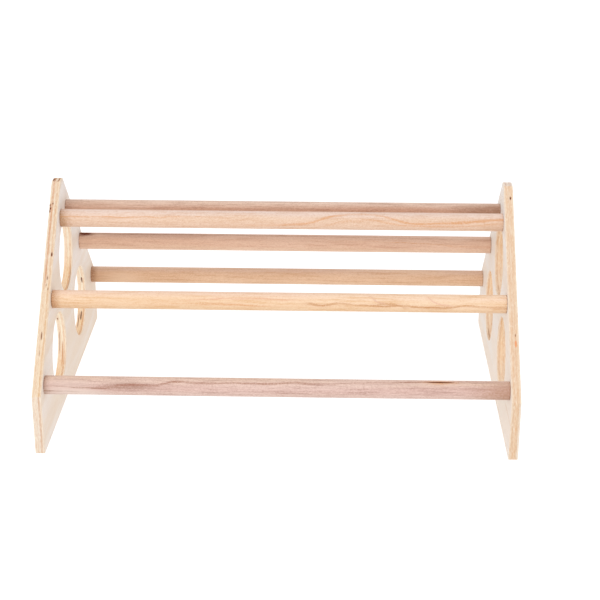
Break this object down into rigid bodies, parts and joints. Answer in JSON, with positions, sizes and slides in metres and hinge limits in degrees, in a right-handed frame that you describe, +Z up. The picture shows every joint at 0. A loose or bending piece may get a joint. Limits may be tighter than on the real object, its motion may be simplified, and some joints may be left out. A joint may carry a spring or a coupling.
{
  "type": "bird perch stand",
  "caption": "Free-standing wooden bird perch: plywood side panels with round cut-outs, joined by round perches stepped up both slopes of an A shape.",
  "frame": {"origin": "middle of the footprint, on the surface that the stand rests on", "axes": "+X along the perches, -Y towards the front, +Z up"},
  "size_m": [0.489, 0.356, 0.2355],
  "materials": {
    "plywood": "bare sanded five-ply plywood",
    "pale_dowel": "bare sanded dowel, pale yellow to peach",
    "rosy_dowel": "bare sanded dowel, pinkish brown",
    "zinc_steel": "zinc-plated wood screws"
  },
  "bodies": {
    "root": {"left_side_panel": "plywood", "right_side_panel": "plywood", "front_top_perch": "pale_dowel", "rear_top_perch": "rosy_dowel", "front_middle_perch": "pale_dowel", "rear_middle_perch": "rosy_dowel", "front_lower_perch": "rosy_dowel", "rear_lower_perch": "pale_dowel", "left_panel_screws": "zinc_steel", "right_panel_screws": "zinc_steel"}
  },
  "joints": []
}
